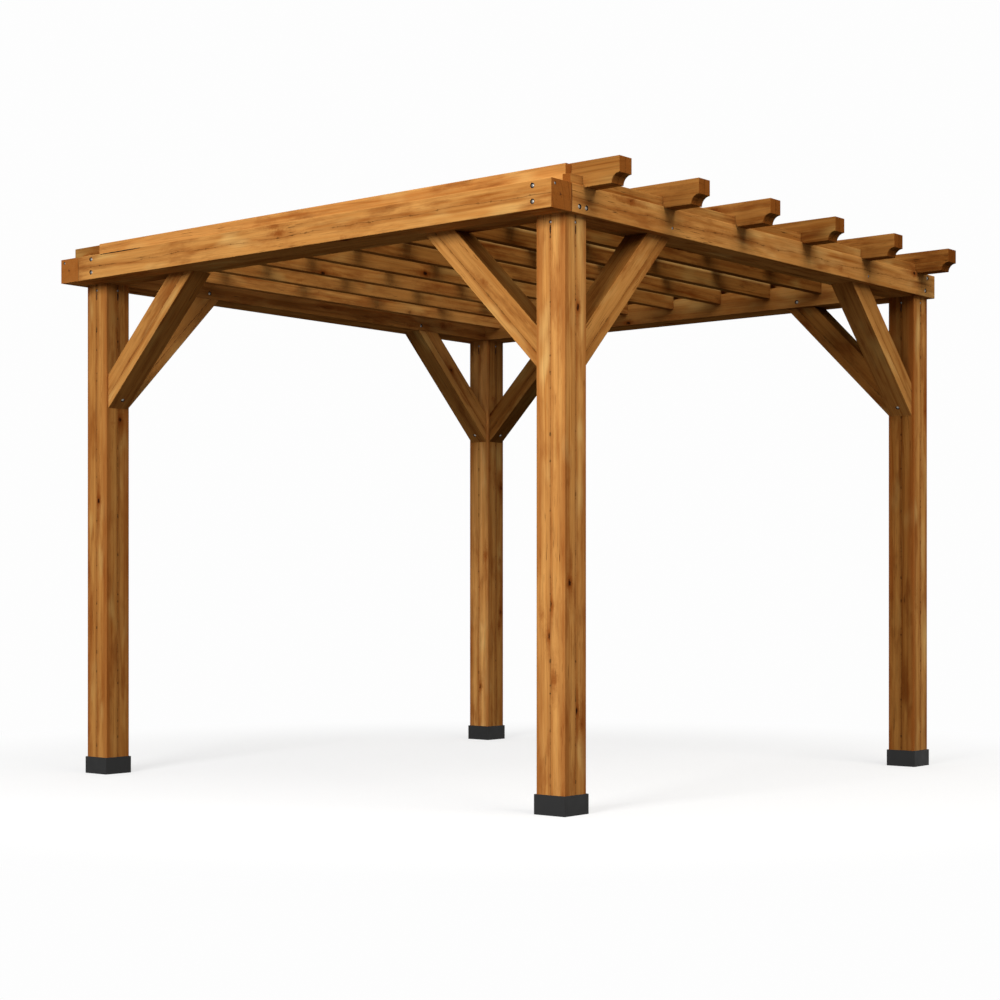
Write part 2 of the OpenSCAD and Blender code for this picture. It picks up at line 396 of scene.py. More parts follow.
    # no two boards take the stain alike, and the Tone they are given also carries painted light and
    # shade;
    # where the colour is deeper it is also richer: the gamma falls to 1 where a board has the plain
    # colour
    own = add(RANGE, [luck["Value"], 0.0, 1.0, 0.90, 1.08])[0]
    own = add(MATH, [own, given["Tone"]], operation="MULTIPLY")[0]
    coats = add(MATH, [own, -0.34, 1.34], operation="MULTIPLY_ADD")[0]
    both = add("ShaderNodeGamma", {"Color": both, "Gamma": coats})[0]
    both = add("ShaderNodeHueSaturation", {"Value": own, "Color": both})[0]

    rough = add(RANGE, [field["fibre"], 0.3, 0.7, 0.58, 0.74])[0]
    rough = add(MATH, [given["Cut"], 0.18, rough], operation="MULTIPLY_ADD")[0]
    height = add(MATH, [ring, 0.35, field["fibre"]], operation="MULTIPLY_ADD")[0]
    for dip in ("seam", "check"):
        height = add(MATH, [share[dip], -0.9, height], operation="MULTIPLY_ADD")[0]
    add("NodeGroupOutput", {"Colour": both, "Roughness": rough, "Height": height})
    return tree


def cedar_material(name, figure, seam=0.0, wander=0.0, light_painted=None, edges=None):
    """Planed western red cedar under a matt oil stain, with one glue line or none.

    It gives the eye straight, warm grain with a few small knots. A light_painted colour paints
    a highlight on the upper edge, as if light fell from above. A colour for the edges darkens a
    stave towards its arris, where the stain was brushed on thickest.
    """
    material, add = add_material(name)
    inputs = {"Seam": seam, "Wander": wander}
    inputs["Board"] = add("ShaderNodeAttribute", attribute_name="board")["Vector"]
    for label in ("Seed", "Tone", "Cut", "Arris"):
        inputs[label] = add("ShaderNodeAttribute", attribute_name=label.lower())["Fac"]
    drawn = add("ShaderNodeGroup", inputs, node_tree=figure)
    raised = {"Strength": 0.35, "Distance": 0.7 * MM, "Height": drawn["Height"]}
    bump = add("ShaderNodeBump", raised)[0]
    stained = drawn["Colour"]
    if light_painted:
        # painted highlight on the upper edge, as if light fell from above: from a little above the
        # board's middle line to its upper edge
        across = add("ShaderNodeSeparateXYZ", [inputs["Board"]])[1]
        top_light = add(RANGE, [across, 14 * MM, 40 * MM, 0.0, 0.95], **SMOOTH)[0]
        # the painted highlight is weaker on raised fibres, so the grain still shows
        kept = add(RANGE, [drawn["Height"], 0.55, 0.9, 1.0, 0.5])[0]
        top_light = add(MATH, [top_light, kept], operation="MULTIPLY")[0]
        laid = {0: top_light, UNDER: stained, OVER: opaque(light_painted)}
        stained = add(MIX, laid, data_type="RGBA")[MIXED]
    if edges:
        # the brush's edge wanders 110 mm across, in clouds of 420 by 60 mm
        sides = add("ShaderNodeSeparateXYZ", [inputs["Board"]])
        near = add(MATH, [sides[1], sides[2]], operation="MINIMUM")[0]
        drift = add(VECTOR, [inputs["Board"], (2.4, 16.0, 16.0)], operation="MULTIPLY")[0]
        noise = {"Vector": drift, "W": inputs["Seed"], "Scale": 1.0, "Detail": 4.0}
        ragged = add(NOISE, noise, noise_dimensions="4D")[0]
        reach = add(MATH, [ragged, 110 * MM, near], operation="MULTIPLY_ADD")[0]
        brushed = add(RANGE, [reach, 78 * MM, 128 * MM, 0.0, 0.62], **SMOOTH)[0]
        laid = {0: brushed, UNDER: stained, OVER: opaque(edges)}
        stained = add(MIX, laid, data_type="RGBA")[MIXED]
    # the oil has sunk in and left no film, so nothing shines at a low angle
    finish = {"Base Color": stained, "Roughness": drawn["Roughness"], "Normal": bump}
    finish["Specular IOR Level"] = 0.0
    add("ShaderNodeOutputMaterial", [add("ShaderNodeBsdfPrincipled", finish)[0]])
    return material


def seat_shade_material(colours):
    """Walls of bored seats and checks, nearly black brown: raw torn fibre, and painted shade of the
    hollow.
    """
    material, add = add_material("Cedar, drilled")
    place = add("ShaderNodeTexCoord")["Object"]
    torn = add(NOISE, {"Vector": place, "Scale": 1 / (2 * MM), "Detail": 2.0})[0]
    laid = {0: torn, UNDER: opaque(colours.knot), OVER: opaque(colours.umber)}
    mixed = add(MIX, laid, data_type="RGBA")[MIXED]
    finish = {"Base Color": mixed, "Roughness": 0.9}
    add("ShaderNodeOutputMaterial", [add("ShaderNodeBsdfPrincipled", finish)[0]])
    return material


def powder_coat_material(colours):
    """Black polyester powder coat, baked on: an even satin with a fine orange peel."""
    material, add = add_material("Powder coat, baked black")
    place = add("ShaderNodeTexCoord")["Object"]
    # orange peel of 3 mm, coarser than the real 1 mm so that it shows, and dust in 60 mm clouds
    peel = add(NOISE, {"Vector": place, "Scale": 1 / (3 * MM), "Detail": 2.0})[0]
    dust = add(NOISE, {"Vector": place, "Scale": 1 / (60 * MM), "Detail": 4.0})[0]
    worn = add(RANGE, [dust, 0.3, 0.7, 0.55, 0.7])[0]
    dark, light = (opaque(tuple(share * c for c in colours.shoe)) for share in (0.7, 1.3))
    tint = add(MIX, {0: dust, UNDER: dark, OVER: light}, data_type="RGBA")[MIXED]
    bump = add("ShaderNodeBump", {"Strength": 0.15, "Distance": 0.3 * MM, "Height": peel})[0]
    finish = {"Base Color": tint, "Roughness": worn, "Normal": bump}
    finish.update({"IOR": 1.5, "Specular IOR Level": 0.25})
    add("ShaderNodeOutputMaterial", [add("ShaderNodeBsdfPrincipled", finish)[0]])
    return material


def zinc_material(colours):
    """Zinc plated carbon steel, tumbled: a soft grey shine with small dull spots."""
    material, add = add_material("Steel, zinc plated")
    place = add("ShaderNodeTexCoord")["Object"]
    spots = add(NOISE, {"Vector": place, "Scale": 1 / (4 * MM), "Detail": 3.0})[0]
    rough = add(RANGE, [spots, 0.3, 0.7, 0.38, 0.6])[0]
    finish = {"Base Color": opaque(colours.steel), "Metallic": 1.0, "Roughness": rough}
    add("ShaderNodeOutputMaterial", [add("ShaderNodeBsdfPrincipled", finish)[0]])
    return material


def floor_material(colours):
    """Painted studio floor: pale and matt near the object, fading to the white backdrop.

    Light that reaches the timber from it is dull, as if it fell on a dark carpet.
    """
    material, add = add_material("Studio floor, matt paint")
    place = add("ShaderNodeTexCoord")["Object"]
    reach = add(VECTOR, [place], operation="LENGTH")["Value"]
    # metres from the middle where the paint starts to fade and is gone
    fade = add(RANGE, [reach, 1.8, 3.8, 0.63, 1.0], **SMOOTH)[0]
    path = add("ShaderNodeLightPath")
    seen = add(MATH, [path["Is Camera Ray"], path["Is Glossy Ray"]], operation="MAXIMUM")[0]
    pale = add("ShaderNodeBsdfDiffuse", {"Color": opaque(colours.floor)})[0]
    dull = add("ShaderNodeBsdfDiffuse", {"Color": (0.13, 0.12, 0.11, 1)})[0]
    white = add("ShaderNodeEmission", {"Color": (1, 1, 1, 1), "Strength": BACKDROP})[0]
    shown = add("ShaderNodeMixShader", [fade, pale, white])[0]
    mixed = add("ShaderNodeMixShader", [seen, dull, shown])[0]
    add("ShaderNodeOutputMaterial", [mixed])
    return material


STORE = {}


def library():
    """Every material of the part, made on first use and kept by name."""
    if not STORE:
        colours = bpy.context.scene.pergola_colours
        figure = cedar_figure(colours)
        russet, pale = colours.russet, colours.pale
        for key, name, traits in (
            ("post", "Cedar post, laminated and oil stained", {"seam": 1.0, "edges": russet}),
            ("beam", "Cedar beam, planed and oil stained", {"seam": 0.6, "wander": 50 * MM}),
            ("plank", "Cedar plank, planed and oil stained", {}),
            ("brace", "Cedar brace, laminated and oil stained", {"seam": 0.5, "wander": 4 * MM}),
            ("strip", "Cedar strip, sawn and oil stained", {}),
            ("rafter", "Cedar rafter, doubled and oil stained", {"seam": 0.8}),
            # the purlins' pale upper edge is a painted highlight
            ("purlin", "Cedar purlin, oil stained and sunned on top", {"light_painted": pale}),
        ):
            STORE[key] = cedar_material(name, figure, **traits)
        STORE["drilled"] = seat_shade_material(colours)
        STORE["shoe"] = powder_coat_material(colours)
        STORE["zinc"] = zinc_material(colours)
    return STORE


# ---- timber


def linked(name, data):
    """A new object in the scene."""
    thing = bpy.data.objects.new(name, data)
    bpy.context.scene.collection.objects.link(thing)
    return thing


def meshed(name, solid, *materials):
    """The mesh of a finished solid, which isn't kept."""
    mesh = bpy.data.meshes.new(name)
    solid.to_mesh(mesh)
    solid.free()
    for material in materials:
        mesh.materials.append(material)
    return mesh


def stand(name, mesh, slot, *nodes):
    """Puts a finished mesh in the scene as a piece of the pergola."""
    thing = linked(name, mesh)
    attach(thing, BODY)
    if nodes:
        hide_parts(*nodes)


class Timber:
    """Collects the boards of one piece, with the coordinates that the grain is drawn in"""

    def __init__(self):
        self.places, self.faces, self.board, self.slots = [], [], [], []
        self.marks = {"seed": [], "tone": [], "cut": [], "arris": []}

    def add(self, solid, axes, origin, seed, tone=1.0, faces=()):
        """Takes a finished board. Its axes are along, across and through the grain.

        faces holds (direction, tone) pairs for faces drawn lighter or darker than the rest, mostly
        painted light and shade.
        """
        first = len(self.places)
        solid.verts.index_update()
        solid.normal_update()
        for vertex in solid.verts:
            self.places.append(vertex.co.copy())
            self.board.append([(vertex.co - origin).dot(axis) for axis in axes])
        for face in solid.faces:
            self.faces.append([first + vertex.index for vertex in face.verts])
            ahead = abs(face.normal.dot(axes[0]))
            square = max(abs(face.normal.dot(axis)) for axis in axes)
            own = [value for direction, value in faces if face.normal.dot(direction) > FACING]
            eased = ahead < SAWN and square < SQUARE and face.material_index == 0
            self.marks["seed"].append(seed)
            self.marks["tone"].append(tone * (own[0] if own else 1.0))
            self.marks["cut"].append(ahead if ahead > SAWN else 0.0)
            self.marks["arris"].append(1.0 if eased else 0.0)
            self.slots.append(face.material_index)
        solid.free()

    def piece(self, name, slot, material, *nodes):
        """Makes the object, which stands for its CAD nodes."""
        mesh = bpy.data.meshes.new(name)
        mesh.from_pydata(self.places, [], self.faces)
        mesh.materials.append(material)
        mesh.materials.append(library()["drilled"])
        mesh.polygons.foreach_set("material_index", self.slots)
        flat = [number for row in self.board for number in row]
        mesh.attributes.new("board", "FLOAT_VECTOR", "POINT").data.foreach_set("vector", flat)
        for label, values in self.marks.items():
            mesh.attributes.new(label, "FLOAT", "FACE").data.foreach_set("value", values)
        mesh.update()
        stand(name, mesh, slot, *nodes)


def rectangle(low, high, radii, steps=3):
    """A rectangle with rounded corners, listed anticlockwise from the lowest."""
    corners = [Vector(place) for place in (low, (high[0], low[1]), high, (low[0], high[1]))]
    outline = []
    for i, (corner, radius) in enumerate(zip(corners, radii)):
        if radius <= 0:
            outline.append(corner)
            continue
        before = (corners[i - 1] - corner).normalized()
        after = (corners[(i + 1) % 4] - corner).normalized()
        centre = corner + (before + after) * radius
        for step in range(steps + 1):
            turn = math.pi / 2 * step / steps
            across, along = radius * math.cos(turn), radius * math.sin(turn)
            outline.append(centre - after * across - before * along)
    return outline


def wall(solid, lower, upper):
    """The faces that join two rings of vertices."""
    for i in range(len(lower)):
        j = (i + 1) % len(lower)
        solid.faces.new((lower[i], lower[j], upper[j], upper[i]))


def bar(section, axes, origin, start, end):
    """A board of one section drawn along the grain between two cutting planes.

    axes are along, across and through. start and end are (point, normal) pairs.
    """
    solid = bmesh.new()
    rings = []
    for point, normal in (start, end):
        ring = []
        for across, through in section:
            place = origin + axes[1] * across + axes[2] * through
            slide = (point - place).dot(normal) / axes[0].dot(normal)
            ring.append(solid.verts.new(place + axes[0] * slide))
        rings.append(ring)
    solid.faces.new(reversed(rings[0]))
    solid.faces.new(rings[1])
    wall(solid, *rings)
    bmesh.ops.recalc_face_normals(solid, faces=solid.faces)
    return solid


def shaped(outline, axes, origin, span, ease):
    """A board cut to an outline in side view, drawn through its thickness, its edges eased.

    The outline's numbers run along and across the grain.
    """
    solid = bmesh.new()
    sides = []
    for through in span:
        start = origin + axes[2] * through
        sides.append([solid.verts.new(start + axes[0] * u + axes[1] * v) for u, v in outline])
    solid.faces.new(sides[0])
    solid.faces.new(reversed(sides[1]))
    wall(solid, sides[1], sides[0])
    bmesh.ops.recalc_face_normals(solid, faces=solid.faces)
    sharp = [edge for edge in solid.edges if edge.calc_face_angle() > SHARP]
    how = {"offset_type": "OFFSET", "segments": 2, "profile": 0.5, "affect": "EDGES"}
    bmesh.ops.bevel(solid, geom=sharp, offset=ease, **how)
    return solid


def bored(solid, cuts):
    """The board with its seats and checks cut out.

    Each cut is (place, outward normal, grain direction, half length, half width, depth).
    """
    if not cuts:
        return solid
    cutter = bmesh.new()
    for place, normal, grain, *sizes in cuts:
        turn = Matrix((grain, normal.cross(grain), normal)).transposed().to_4x4()
        spot = Matrix.Translation(place) @ turn @ Matrix.Diagonal((*sizes, 1))
        shape = {"segments": 28, "radius1": 1.0, "radius2": 1.0, "depth": 2.0}
        bmesh.ops.create_cone(cutter, cap_ends=True, matrix=spot, **shape)
    for face in cutter.faces:
        face.material_index = 1
    parts = []
    for label, source in (("board", solid), ("cutter", cutter)):
        parts.append(linked(label, meshed(label, source, None, None)))
    cut = parts[0].modifiers.new("seats", "BOOLEAN")
    cut.object = parts[1]
    cut.operation = "DIFFERENCE"
    cut.solver = "EXACT"
    cut.use_self = True
    result = bmesh.new()
    result.from_object(parts[0], bpy.context.evaluated_depsgraph_get())
    for thing in parts:
        mesh = thing.data
        bpy.data.objects.remove(thing)
        bpy.data.meshes.remove(mesh)
    return result


def seed_of(name, part=0):
    """A number that stays the same for a board from run to run: one of 977, and the part's."""
    return float(sum((i + 1) * ord(letter) for i, letter in enumerate(name)) % 977) + 0.37 * part


# ---- fasteners

HEADS = []


def fastener(sizes, kind, place, normal, grain):
    """Notes a bolt or screw head, to be turned later, and returns the seat bored for it."""
    radius, depth = getattr(sizes, f"{kind}_radius"), getattr(sizes, f"{kind}_seat")
    HEADS.append((place, normal, radius, depth))
    return (place, normal, grain, radius * ROOM[kind], radius * ROOM[kind], depth)


def check(place, normal, grain, long, wide, deep):
    """A drying check: a thin split that opens along the grain. Its sizes are in mm."""
    return (place, normal, grain, long / 2 * MM, wide / 2 * MM, deep * MM)


def turned_head(solid, place, normal, radius, seat, turns=24, steps=6):
    """A domed head, turned round its own axis, whose top lies just inside its seat."""
    # a straight rim, drawn in at its foot, takes a fifth of the rise, and the dome the rest
    rise, rim = seat * 0.85, 0.2
    profile = [(0, -seat), (radius * 0.96, -seat), (radius, rise * rim - seat)]
    for step in range(1, steps):
        angle = math.pi / 2 * step / steps
        height = rise * (rim + (1 - rim) * math.sin(angle))
        profile.append((radius * math.cos(angle), height - seat))
    profile.append((0, rise - seat))
    post = Matrix.Translation(place) @ Z.rotation_difference(normal).to_matrix().to_4x4()
    rings = []
    for size, height in profile:
        count = turns if size else 1
        angles = [2 * math.pi * i / turns for i in range(count)]
        ring = [Vector((size * math.cos(a), size * math.sin(a), height)) for a in angles]
        rings.append([solid.verts.new(post @ place) for place in ring])
    for lower, upper in zip(rings, rings[1:]):
        for i in range(turns):
            j = (i + 1) % turns
            if len(lower) == 1:
                solid.faces.new((lower[0], upper[j], upper[i]))
            elif len(upper) == 1:
                solid.faces.new((lower[i], lower[j], upper[0]))
            else:
                solid.faces.new((lower[i], lower[j], upper[j], upper[i]))


# ---- pieces


def upright_posts(sizes):
    """Posts of four staves, glued so that a seam runs down the middle of each face."""
    for index, corner in enumerate(CORNERS):
        node = f"post_{corner}"
        low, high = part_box(node)
        middle = (low + high) / 2
        half = (high.x - low.x) / 2
        # painted light and shade on the front and right faces; the other two faces keep the plain
        # post tone
        front, right = FACE_LIGHT_AND_SHADE[corner]
        faces = ((-Y, front), (X, right), (-X, TONES["post"]), (Y, TONES["post"]))
        timber = Timber()
        foot = Vector((middle.x, middle.y, low.z))
        top = Vector((middle.x, middle.y, high.z))
        near = sizes.glue_gap / 2
        edge = sizes.seam_arris
        section = rectangle((near, near), (half, half), (0.0, edge, sizes.post_arris, edge))
        # a screw 29 mm from the top, in the middle of each face, and a check below it
        head = top - Z * 29 * MM
        split = top - Z * 58 * MM
        wide = sizes.screw_radius * ROOM["screw"]
        for part, (sx, sy) in enumerate(((-1, -1), (1, -1), (1, 1), (-1, 1))):
            axes = (Z, X * sx, Y * sy)
            solid = bar(section, axes, foot, (foot, Z), (top, Z))
            cuts = []
            for out in (X * sx, Y * sy):
                cuts.append((head + out * half, out, Z, wide, wide, sizes.screw_seat))
                cuts.append(check(split + out * half, out, Z, 38, 7, 7))
            # the dirt in the glue lines differs from post to post
            start = foot - Z * STAGGER["post"] * index
            timber.add(bored(solid, cuts), axes, start, seed_of(node, part), 1.0, faces)
        for out in OUTWARD.values():
            HEADS.append((head + out * half, out, sizes.screw_radius, sizes.screw_seat))
        timber.piece(f"{node}_staves", "post_cedar", library()["post"], node)


def squared(node, run, out, arris):
    """A plain board that fills its node's box, its axes, its middle and its half sizes."""
    low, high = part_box(node)
    middle = (low + high) / 2
    reach, across, through = (abs((high - low).dot(axis)) / 2 for axis in (run, Z, out))
    axes = (run, Z, out)
    section = rectangle((-across, -through), (across, through), [arris] * 4)
    ends = [(middle + run * reach * end, run) for end in (-1, 1)]
    return bar(section, axes, middle, *ends), axes, middle, (reach, across, through)


def grain_origin(node, side):
    """Zero of a beam's grain, so placed that one glue line alone runs at mid height."""
    low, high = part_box(node)
    along = STAGGER["beam"] * list(OUTWARD).index(side)
    return (low + high) / 2 + OUTWARD[side] * ASIDE - RUNS[side] * along


def beam_cuts(sizes, side, middle, halves):
    """Seats and checks of one outer beam."""
    out, run = OUTWARD[side], RUNS[side]
    reach, drop, depth = halves
    face = middle + out * depth - Z * drop
    cuts = []
    for kind, spots in DRILLED[side].items():
        for end, inset, rise in spots:
            place = face + run * (end * (reach - inset * MM)) + Z * (rise * MM)
            cuts.append(fastener(sizes, kind, place, out, run))
    if side in ("front", "back"):
        # a long check just under the upper edge, its walls painted near black: painted shade for
        # the shadow gap between the beam and the edge board above it
        place = face + run * (300 * MM - reach) + Z * (2 * drop - 4 * MM)
        cuts.append(check(place, out, run, 300, 5, 8))
    # the joint where it butts against the next beam stands open by a few millimetres
    cuts.append(check(face - run * reach + Z * drop, out, Z, 2.1 * drop / MM, 7, 8))
    # the end that runs past the corner has one screw, and two splits that star from its pith
    butt = middle + run * reach
    place = butt + out * (depth - 24 * MM) + Z * (drop - 18 * MM)
    cuts.append(fastener(sizes, "screw", place, run, Z))
    for turn, size in ((0.4, 22), (1.7, 14)):
        split = Z * math.cos(turn) + out * math.sin(turn)
        cuts.append(check(butt + out * 6 * MM, run, split, size, 2.5, 4))
    return cuts


def ring_beams(sizes):
    """Outer beams with bored ends, and the inner planks behind them."""
    # undersides darker: painted shade
    under = ((-Z, TONES["under"]),)
    for side, out in OUTWARD.items():
        run = RUNS[side]
        for kind in ("beam", "plank"):
            node = f"{kind}_{side}"
            solid, axes, middle, halves = squared(node, run, out, sizes.beam_arris)
            if kind == "beam":
                cuts = beam_cuts(sizes, side, middle, halves)
            else:
                reach, across, through = halves
                inset, rise = 560 * MM, 28 * MM
                inner = middle - out * through - Z * (across - rise)
                spots = [inner + run * (reach - inset) * end for end in (-1, 1)]
                cuts = [fastener(sizes, "bolt", place, -out, run) for place in spots]
            # the planks' tone is painted shade under the roof
            tone = TONES.get(node, TONES[kind])
            timber = Timber()
            start = grain_origin(node, side)
            timber.add(bored(solid, cuts), axes, start, seed_of(node), tone, under)
            timber.piece(f"{node}_timber", f"{kind}_cedar", library()[kind], node)


def knee_braces(sizes):
    """Braces of two plies, cut to the post's face and the beam's underside."""
    for node in nodes_of("brace"):
        side, corner = node.removeprefix("brace_").split("_at_")
        run = X if side in ("front", "back") else Y
        outward = run if corner in ("left", "front") else -run
        low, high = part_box(node)
        middle = (low + high) / 2
        post_face = low if outward == run else high
        along = (outward + Z).normalized()
        across = (outward - Z).normalized()
        through = along.cross(across)
        half = abs((high - low).dot(through)) / 2
        # the foot's lowest edge lies on the brace's lower face, the bolt 52 mm further up
        foot = middle + run * (post_face - middle).dot(run) + Z * (low.z - middle.z)
        seam = -sizes.brace_ply
        gap = sizes.glue_gap / 2
        ease, edge = sizes.beam_arris, sizes.seam_arris
        lower = rectangle((seam + gap, -half), (0.0, half), (edge, ease, ease, edge))
        upper = rectangle((-sizes.brace_depth, -half), (seam - gap, half), (ease, edge, edge, ease))
        axes = (along, across, through)
        start = along * STAGGER["brace"] * seed_of(node)
        origin = foot + across * seam + through * ASIDE - start
        seat = fastener(sizes, "bolt", foot + along * 52 * MM, across, along)
        # darker lower and upper faces, and darker back braces: painted shade
        shaded = ((across, TONES["brace_lower_shade"]), (-across, TONES["brace_upper_shade"]))
        tone = TONES["brace_back_shade" if side == "back" else "brace"]
        timber = Timber()
        for part, (section, cuts) in enumerate(((lower, [seat]), (upper, []))):
            solid = bar(section, axes, foot, (foot, outward), (high, Z))
            timber.add(bored(solid, cuts), axes, origin, seed_of(node, part), tone, shaded)
        timber.piece(f"{node}_plies", "brace_cedar", library()["brace"], node)


def rafter_outline(low, high, radius, rebate, steps=10):
    """Side view of a rafter: coved under both tails, with one long rebate between them."""
    turns = [math.pi / 2 * step / steps for step in range(steps + 1)]
    cove = [(radius * math.sin(turn), radius * math.cos(turn)) for turn in turns]
    outline = [(low.x, high.z)] + [(low.x + u, low.z + v) for u, v in cove] + rebate
    return outline + [(high.x - v, low.z + u) for u, v in cove] + [(high.x, high.z)]


def doubled_rafters(sizes):
    """Rafters of two plies side by side, sat down over the purlins and strips."""
    left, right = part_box("beam_left"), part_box("beam_right")
    strip_left, strip_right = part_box("strip_left"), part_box("strip_right")
    sill = left[1].z + sizes.seat
    ceiling = strip_left[1].z + sizes.seat
    for number, node in enumerate(nodes_of("rafter")):
        low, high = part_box(node)
        # each tail hooks over its beam and butts the strip on top of it
        hooks = (left[0].x - sizes.tail_play, right[1].x + sizes.tail_play)
        butts = (strip_left[0].x - sizes.seat, strip_right[1].x + sizes.seat)
        rebate = [(hooks[0], low.z), (hooks[0], sill), (butts[0], sill), (butts[0], ceiling)]
        rebate += [(butts[1], ceiling), (butts[1], sill), (hooks[1], sill), (hooks[1], low.z)]
        outline = rafter_outline(low, high, sizes.cove_radius, rebate)
        middle = Vector((0, (low.y + high.y) / 2, 0))
        half = (high.y - low.y) / 2
        gap = sizes.glue_gap / 2
        origin = middle - Z * ASIDE - X * STAGGER["rafter"] * number
        # rafters darkened as painted shade, more towards the back and least on the first one; the
        # sawn ends painted lighter than the sides
        tone = TONES["rafter"] - DARKER_PER_ROW["rafter"] * number if number else TONES["rafter_front"]
        faces = ((X, TONES["rafter_end"]), (-X, TONES["rafter_end"]))
        timber = Timber()
        for part, span in enumerate(((-half, -gap), (gap, half))):
            solid = shaped(outline, (X, Z, Y), middle, span, sizes.board_arris)
            timber.add(solid, (X, Y, Z), origin, seed_of(node, part), tone, faces)
        timber.piece(f"{node}_plies", "rafter_cedar", library()["rafter"], node)


def straight_boards(sizes):
    """Purlins, strips and edge boards: plain planed boards."""
    rows = []
    # purlins darker towards the back: painted shade under the roof
    for number, node in enumerate(nodes_of("purlin")):
        rows.append((node, Y, X, "purlin", TONES["purlin"] - DARKER_PER_ROW["purlin"] * number))
    for side in ("left", "right"):
        rows.append((f"strip_{side}", Y, X, "strip", TONES["strip"]))
    for side in ("front", "back"):
        row = (f"edge_board_{side}", RUNS[side], OUTWARD[side], "strip", TONES["edge_board"])
        rows.append(row)
    for node, run, out, kind, tone in rows:
        solid, axes, origin, _ = squared(node, run, out, sizes.board_arris)
        seed = seed_of(node)
        if node.startswith("edge_board"):
            # sawn from the same plank as the beam below, so the figure runs on
            side = node.rsplit("_", 1)[1]
            origin = grain_origin(f"beam_{side}", side)
            seed = seed_of(f"beam_{side}")
        timber = Timber()
        timber.add(solid, axes, origin, seed, tone)
        timber.piece(f"{node}_board", f"{kind}_cedar", library()[kind], node)


def post_shoes(sizes):
    """Shoes: folded steel cups with soft bends, each with the post standing in it."""
    bend = 3 * MM
    rim = 1.2 * MM
    for corner in CORNERS:
        node = f"shoe_{corner}"
        low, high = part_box(node)
        post_low, post_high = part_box(f"post_{corner}")
        middle = (low + high) / 2
        half = (high.x - low.x) / 2
        inner = (post_high.x - post_low.x) / 2 + sizes.seat
        solid = bmesh.new()
        loops = []
        for size, radius, height in (
            (half - rim, bend, low.z),
            (half, bend, low.z + rim),
            (half, bend, high.z - rim),
            (half - rim, bend, high.z),
            (inner + rim / 2, bend / 2, high.z),
            (inner, bend / 2, high.z - rim),
            (inner, bend / 2, post_low.z),
        ):
            outline = rectangle((-size, -size), (size, size), [radius] * 4)
            corners = [(middle.x + u, middle.y + v, height) for u, v in outline]
            loops.append([solid.verts.new(place) for place in corners])
        solid.faces.new(reversed(loops[0]))
        for lower, upper in zip(loops, loops[1:]):
            wall(solid, lower, upper)
        solid.faces.new(loops[-1])
        bmesh.ops.recalc_face_normals(solid, faces=solid.faces)
        name = f"{node}_steel"
        stand(name, meshed(name, solid, library()["shoe"]), "shoe_black", node)


def steel_fasteners():
    """Every bolt and screw head noted so far, as one joined piece."""
    solid = bmesh.new()
    for place, normal, radius, seat in HEADS:
        turned_head(solid, place, normal, radius, seat)
    bmesh.ops.recalc_face_normals(solid, faces=solid.faces)
    for face in solid.faces:
        face.smooth = True
    stand("bolt_heads", meshed("bolt_heads", solid, library()["zinc"]), "")


def studio(stage):
    """Floor, lamps, sky and camera."""
    scene = bpy.context.scene
    scene.view_settings.view_transform = "Standard"
    # a disc so wide that its edge is out of sight
    solid = bmesh.new()
    bmesh.ops.create_circle(solid, cap_ends=True, segments=96, radius=40)
    paint = floor_material(scene.pergola_colours)
    floor = linked("studio_floor", meshed("studio_floor", solid, paint))

    for name, power, tint, size, place, target in (
        ("key_lamp", stage.key, (1, 1, 1), 3.0, (1.9, -9.3, 4.4), (0, 0, 1.5)),
        ("side_lamp", stage.side, (1, 0.94, 0.85), 5.0, (6.4, -1.2, 6.6), (0, 0, 2.0)),
    ):
        lamp = bpy.data.lights.new(name, "AREA")
        lamp.color = tint
        lamp.energy = power
        lamp.size = size
        thing = linked(name, lamp)
        thing.location = place
        thing.rotation_euler = (Vector(target) - Vector(place)).to_track_quat("-Z", "Y").to_euler()

    world = bpy.data.worlds.new("Studio sky")
    world.use_nodes = True
    world.node_tree.nodes.clear()
    add = partial(add_node, world.node_tree)
    path = add("ShaderNodeLightPath")
    seen = add(MATH, [path["Is Camera Ray"], path["Is Glossy Ray"]], operation="MAXIMUM")[0]
    # a broad soft box overhead: the light grows from half way up
    place = add("ShaderNodeTexCoord")["Generated"]
    up = add("ShaderNodeSeparateXYZ", [place])[2]
    glow = add(RANGE, [up, 0.5, 0.95, stage.sky, stage.zenith], **SMOOTH)[0]
    soft = add("ShaderNodeBackground", {"Color": (1, 1, 1, 1), "Strength": glow})[0]
    white = add("ShaderNodeBackground", {"Color": (1, 1, 1, 1), "Strength": BACKDROP})[0]
    mixed = add("ShaderNodeMixShader", [seen, soft, white])[0]
    add("ShaderNodeOutputWorld", [mixed])
    scene.world = world

    lens = bpy.data.cameras.new("camera")
    lens.lens = stage.lens
    lens.sensor_width = 36
    lens.shift_x, lens.shift_y = stage.shift
    lens.clip_end = 200
    camera = linked("camera", lens)
    camera.location = stage.camera_place
    camera.rotation_euler = (math.pi / 2, 0, stage.heading)
    scene.camera = camera


# ---- operators


class PERGOLA_OT_posts(bpy.types.Operator):
    """Build the four laminated posts"""

    bl_idname = "pergola.posts"
    bl_label = "Posts"

    def execute(self, context):
        upright_posts(context.scene.pergola_sizes)
        return {"FINISHED"}


class PERGOLA_OT_shoes(bpy.types.Operator):
    """Build the four steel shoes"""

    bl_idname = "pergola.shoes"
    bl_label = "Post shoes"

    def execute(self, context):
        post_shoes(context.scene.pergola_sizes)
        return {"FINISHED"}


class PERGOLA_OT_beams(bpy.types.Operator):
    """Build the ring of beams and their inner planks"""

    bl_idname = "pergola.beams"
    bl_label = "Beams and planks"

    def execute(self, context):
        ring_beams(context.scene.pergola_sizes)
        return {"FINISHED"}


